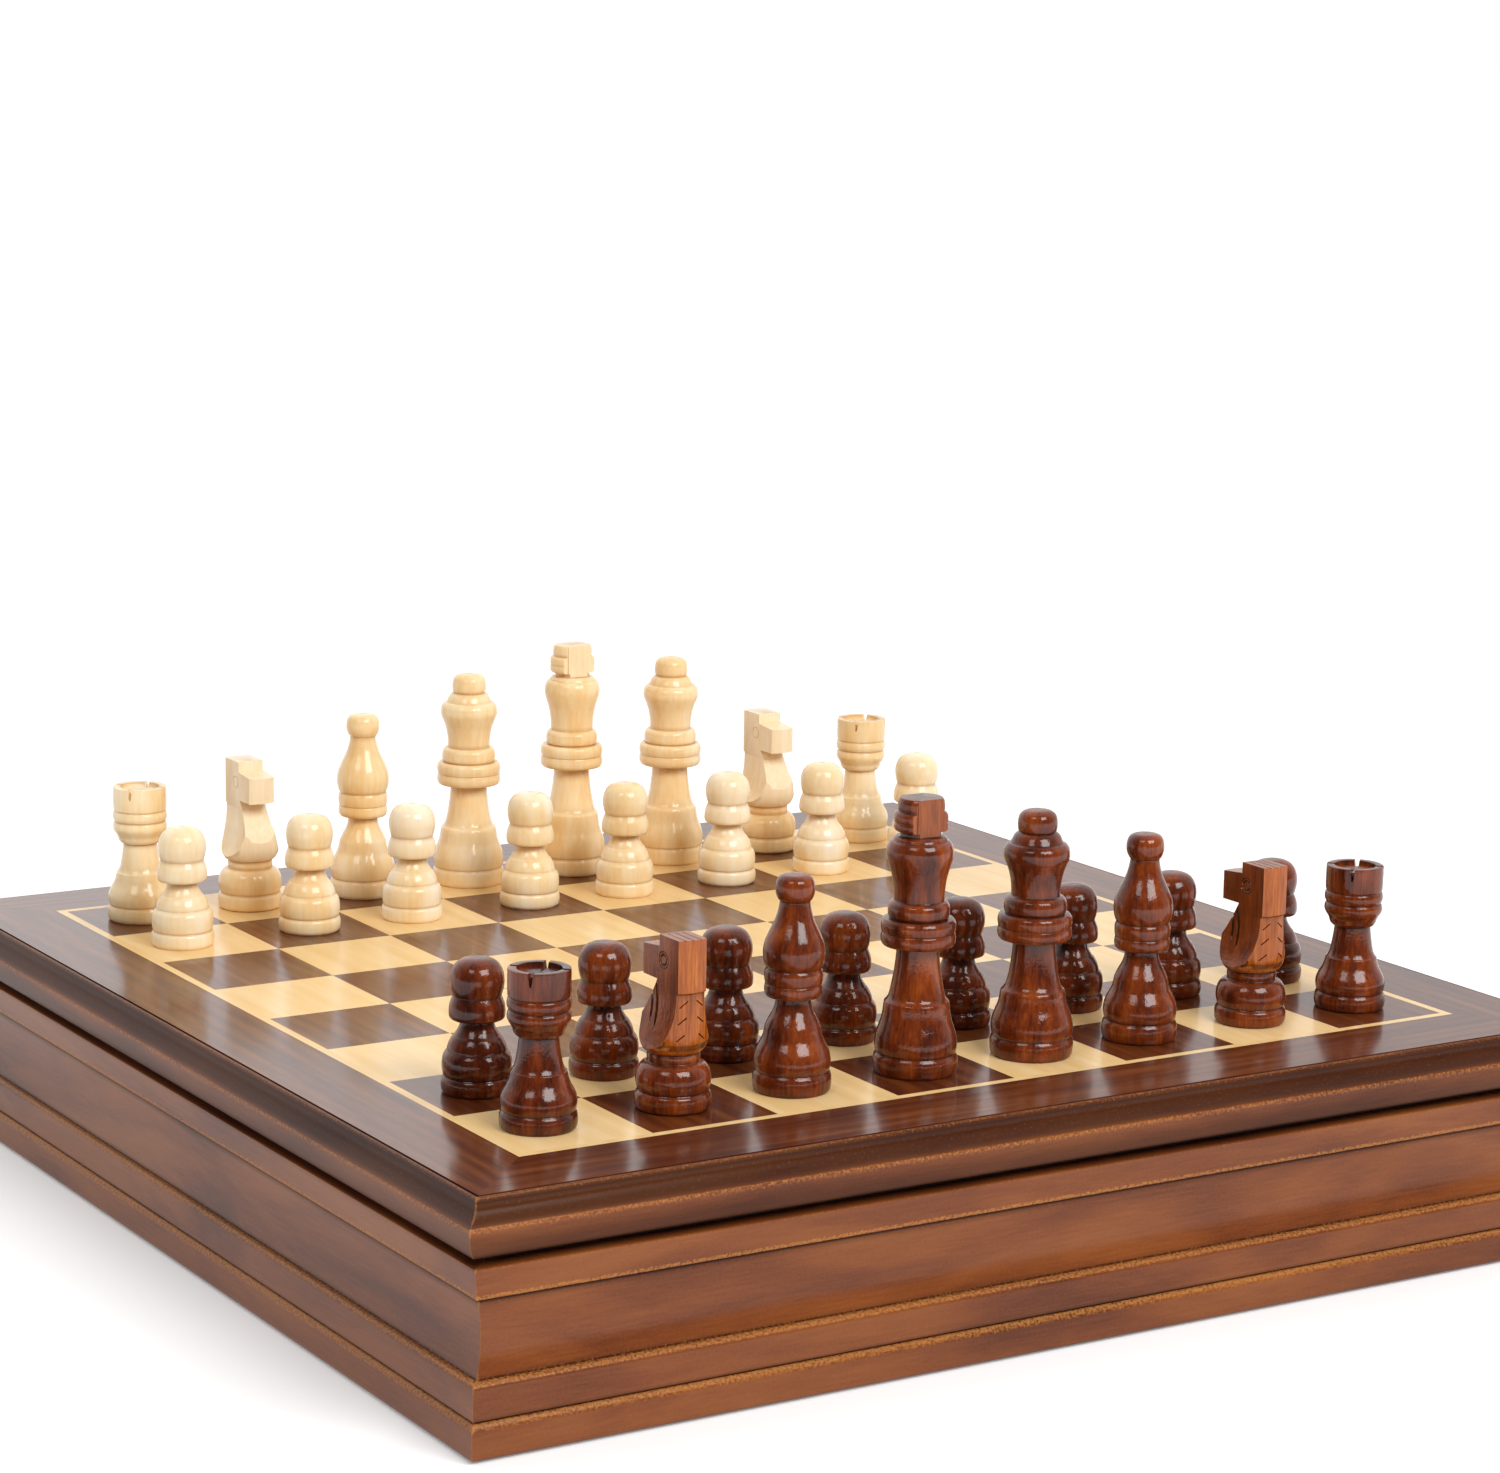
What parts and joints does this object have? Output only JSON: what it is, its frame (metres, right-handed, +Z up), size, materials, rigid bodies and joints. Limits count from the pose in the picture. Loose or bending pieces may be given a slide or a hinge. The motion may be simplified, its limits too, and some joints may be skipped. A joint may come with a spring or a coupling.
{
  "type": "chess box",
  "caption": "Square wooden chess box: a moulded tray with a pocketed black insert, a lift-off lid veneered as the playing board, and turned chess pieces standing on it.",
  "frame": {"origin": "middle of the base felt's underside, on the table", "axes": "+Z up, +X along the front edge to the right, -Y towards the dark side of the board (front)"},
  "size_m": [0.3826, 0.3826, 0.1503],
  "materials": {
    "stained_wood": "stained and waxed moulding",
    "panel_wood": "plain sanded panel",
    "black_felt": "matte felt",
    "black_flock": "matte flocked foam",
    "walnut_veneer": "satin veneer",
    "maple_veneer": "satin veneer",
    "dark_lacquered_wood": "gloss red-brown lacquer",
    "pale_polished_wood": "satin polish"
  },
  "bodies": {
    "tray": {"insert_floor_sheet": "black_flock", "insert_pocket_sheet": "black_flock", "tray_base_felt": "black_felt", "tray_base_panel": "panel_wood", "tray_wall_back": "stained_wood", "tray_wall_front": "stained_wood", "tray_wall_left": "stained_wood", "tray_wall_right": "stained_wood"},
    "lid": {"board_border_back": "walnut_veneer", "board_border_front": "walnut_veneer", "board_border_left": "walnut_veneer", "board_border_right": "walnut_veneer", "board_dark_squares": "walnut_veneer", "board_light_squares": "maple_veneer", "board_stringing": "maple_veneer", "lid_batten_back": "panel_wood", "lid_batten_front": "panel_wood", "lid_batten_left": "panel_wood", "lid_batten_right": "panel_wood", "lid_core_panel": "panel_wood", "lid_edge_back": "stained_wood", "lid_edge_front": "stained_wood", "lid_edge_left": "stained_wood", "lid_edge_right": "stained_wood", "lid_under_panel": "panel_wood"},
    "dark_bishop_1_body": {"dark_bishop_1": "dark_lacquered_wood"},
    "dark_bishop_2_body": {"dark_bishop_2": "dark_lacquered_wood"},
    "dark_king_body": {"dark_king": "dark_lacquered_wood"},
    "dark_knight_1_body": {"dark_knight_1": "dark_lacquered_wood"},
    "dark_knight_2_body": {"dark_knight_2": "dark_lacquered_wood"},
    "dark_pawn_1_body": {"dark_pawn_1": "dark_lacquered_wood"},
    "dark_pawn_2_body": {"dark_pawn_2": "dark_lacquered_wood"},
    "dark_pawn_3_body": {"dark_pawn_3": "dark_lacquered_wood"},
    "dark_pawn_4_body": {"dark_pawn_4": "dark_lacquered_wood"},
    "dark_pawn_5_body": {"dark_pawn_5": "dark_lacquered_wood"},
    "dark_pawn_6_body": {"dark_pawn_6": "dark_lacquered_wood"},
    "dark_pawn_7_body": {"dark_pawn_7": "dark_lacquered_wood"},
    "dark_pawn_8_body": {"dark_pawn_8": "dark_lacquered_wood"},
    "dark_queen_1_body": {"dark_queen_1": "dark_lacquered_wood"},
    "dark_queen_2_body": {"dark_queen_2": "dark_lacquered_wood"},
    "dark_rook_1_body": {"dark_rook_1": "dark_lacquered_wood"},
    "dark_rook_2_body": {"dark_rook_2": "dark_lacquered_wood"},
    "white_bishop_1_body": {"white_bishop_1": "pale_polished_wood"},
    "white_bishop_2_body": {"white_bishop_2": "pale_polished_wood"},
    "white_king_body": {"white_king": "pale_polished_wood"},
    "white_knight_1_body": {"white_knight_1": "pale_polished_wood"},
    "white_knight_2_body": {"white_knight_2": "pale_polished_wood"},
    "white_pawn_1_body": {"white_pawn_1": "pale_polished_wood"},
    "white_pawn_2_body": {"white_pawn_2": "pale_polished_wood"},
    "white_pawn_3_body": {"white_pawn_3": "pale_polished_wood"},
    "white_pawn_4_body": {"white_pawn_4": "pale_polished_wood"},
    "white_pawn_5_body": {"white_pawn_5": "pale_polished_wood"},
    "white_pawn_6_body": {"white_pawn_6": "pale_polished_wood"},
    "white_pawn_7_body": {"white_pawn_7": "pale_polished_wood"},
    "white_pawn_8_body": {"white_pawn_8": "pale_polished_wood"},
    "white_queen_1_body": {"white_queen_1": "pale_polished_wood"},
    "white_queen_2_body": {"white_queen_2": "pale_polished_wood"},
    "white_rook_1_body": {"white_rook_1": "pale_polished_wood"},
    "white_rook_2_body": {"white_rook_2": "pale_polished_wood"}
  },
  "joints": [
    {"name": "board_lid_lift", "type": "slide", "parent": "tray", "child": "lid", "axis": [0, 0, 1], "range_m": [0, 0.15]},
    {"name": "dark_bishop_1_lift", "type": "slide", "parent": "lid", "child": "dark_bishop_1_body", "axis": [0, 0, 1], "range_m": [0, 0.09]},
    {"name": "dark_bishop_2_lift", "type": "slide", "parent": "lid", "child": "dark_bishop_2_body", "axis": [0, 0, 1], "range_m": [0, 0.09]},
    {"name": "dark_king_lift", "type": "slide", "parent": "lid", "child": "dark_king_body", "axis": [0, 0, 1], "range_m": [0, 0.09]},
    {"name": "dark_knight_1_lift", "type": "slide", "parent": "lid", "child": "dark_knight_1_body", "axis": [0, 0, 1], "range_m": [0, 0.09]},
    {"name": "dark_knight_2_lift", "type": "slide", "parent": "lid", "child": "dark_knight_2_body", "axis": [0, 0, 1], "range_m": [0, 0.09]},
    {"name": "dark_pawn_1_lift", "type": "slide", "parent": "lid", "child": "dark_pawn_1_body", "axis": [0, 0, 1], "range_m": [0, 0.09]},
    {"name": "dark_pawn_2_lift", "type": "slide", "parent": "lid", "child": "dark_pawn_2_body", "axis": [0, 0, 1], "range_m": [0, 0.09]},
    {"name": "dark_pawn_3_lift", "type": "slide", "parent": "lid", "child": "dark_pawn_3_body", "axis": [0, 0, 1], "range_m": [0, 0.09]},
    {"name": "dark_pawn_4_lift", "type": "slide", "parent": "lid", "child": "dark_pawn_4_body", "axis": [0, 0, 1], "range_m": [0, 0.09]},
    {"name": "dark_pawn_5_lift", "type": "slide", "parent": "lid", "child": "dark_pawn_5_body", "axis": [0, 0, 1], "range_m": [0, 0.09]},
    {"name": "dark_pawn_6_lift", "type": "slide", "parent": "lid", "child": "dark_pawn_6_body", "axis": [0, 0, 1], "range_m": [0, 0.09]},
    {"name": "dark_pawn_7_lift", "type": "slide", "parent": "lid", "child": "dark_pawn_7_body", "axis": [0, 0, 1], "range_m": [0, 0.09]},
    {"name": "dark_pawn_8_lift", "type": "slide", "parent": "lid", "child": "dark_pawn_8_body", "axis": [0, 0, 1], "range_m": [0, 0.09]},
    {"name": "dark_queen_1_lift", "type": "slide", "parent": "lid", "child": "dark_queen_1_body", "axis": [0, 0, 1], "range_m": [0, 0.09]},
    {"name": "dark_queen_2_lift", "type": "slide", "parent": "tray", "child": "dark_queen_2_body", "axis": [0, 0, 1], "range_m": [0, 0.012]},
    {"name": "dark_rook_1_lift", "type": "slide", "parent": "lid", "child": "dark_rook_1_body", "axis": [0, 0, 1], "range_m": [0, 0.09]},
    {"name": "dark_rook_2_lift", "type": "slide", "parent": "lid", "child": "dark_rook_2_body", "axis": [0, 0, 1], "range_m": [0, 0.09]},
    {"name": "white_bishop_1_lift", "type": "slide", "parent": "lid", "child": "white_bishop_1_body", "axis": [0, 0, 1], "range_m": [0, 0.09]},
    {"name": "white_bishop_2_lift", "type": "slide", "parent": "tray", "child": "white_bishop_2_body", "axis": [0, 0, 1], "range_m": [0, 0.012]},
    {"name": "white_king_lift", "type": "slide", "parent": "lid", "child": "white_king_body", "axis": [0, 0, 1], "range_m": [0, 0.09]},
    {"name": "white_knight_1_lift", "type": "slide", "parent": "lid", "child": "white_knight_1_body", "axis": [0, 0, 1], "range_m": [0, 0.09]},
    {"name": "white_knight_2_lift", "type": "slide", "parent": "lid", "child": "white_knight_2_body", "axis": [0, 0, 1], "range_m": [0, 0.09]},
    {"name": "white_pawn_1_lift", "type": "slide", "parent": "lid", "child": "white_pawn_1_body", "axis": [0, 0, 1], "range_m": [0, 0.09]},
    {"name": "white_pawn_2_lift", "type": "slide", "parent": "lid", "child": "white_pawn_2_body", "axis": [0, 0, 1], "range_m": [0, 0.09]},
    {"name": "white_pawn_3_lift", "type": "slide", "parent": "lid", "child": "white_pawn_3_body", "axis": [0, 0, 1], "range_m": [0, 0.09]},
    {"name": "white_pawn_4_lift", "type": "slide", "parent": "lid", "child": "white_pawn_4_body", "axis": [0, 0, 1], "range_m": [0, 0.09]},
    {"name": "white_pawn_5_lift", "type": "slide", "parent": "lid", "child": "white_pawn_5_body", "axis": [0, 0, 1], "range_m": [0, 0.09]},
    {"name": "white_pawn_6_lift", "type": "slide", "parent": "lid", "child": "white_pawn_6_body", "axis": [0, 0, 1], "range_m": [0, 0.09]},
    {"name": "white_pawn_7_lift", "type": "slide", "parent": "lid", "child": "white_pawn_7_body", "axis": [0, 0, 1], "range_m": [0, 0.09]},
    {"name": "white_pawn_8_lift", "type": "slide", "parent": "lid", "child": "white_pawn_8_body", "axis": [0, 0, 1], "range_m": [0, 0.09]},
    {"name": "white_queen_1_lift", "type": "slide", "parent": "lid", "child": "white_queen_1_body", "axis": [0, 0, 1], "range_m": [0, 0.09]},
    {"name": "white_queen_2_lift", "type": "slide", "parent": "lid", "child": "white_queen_2_body", "axis": [0, 0, 1], "range_m": [0, 0.09]},
    {"name": "white_rook_1_lift", "type": "slide", "parent": "lid", "child": "white_rook_1_body", "axis": [0, 0, 1], "range_m": [0, 0.09]},
    {"name": "white_rook_2_lift", "type": "slide", "parent": "lid", "child": "white_rook_2_body", "axis": [0, 0, 1], "range_m": [0, 0.09]}
  ]
}
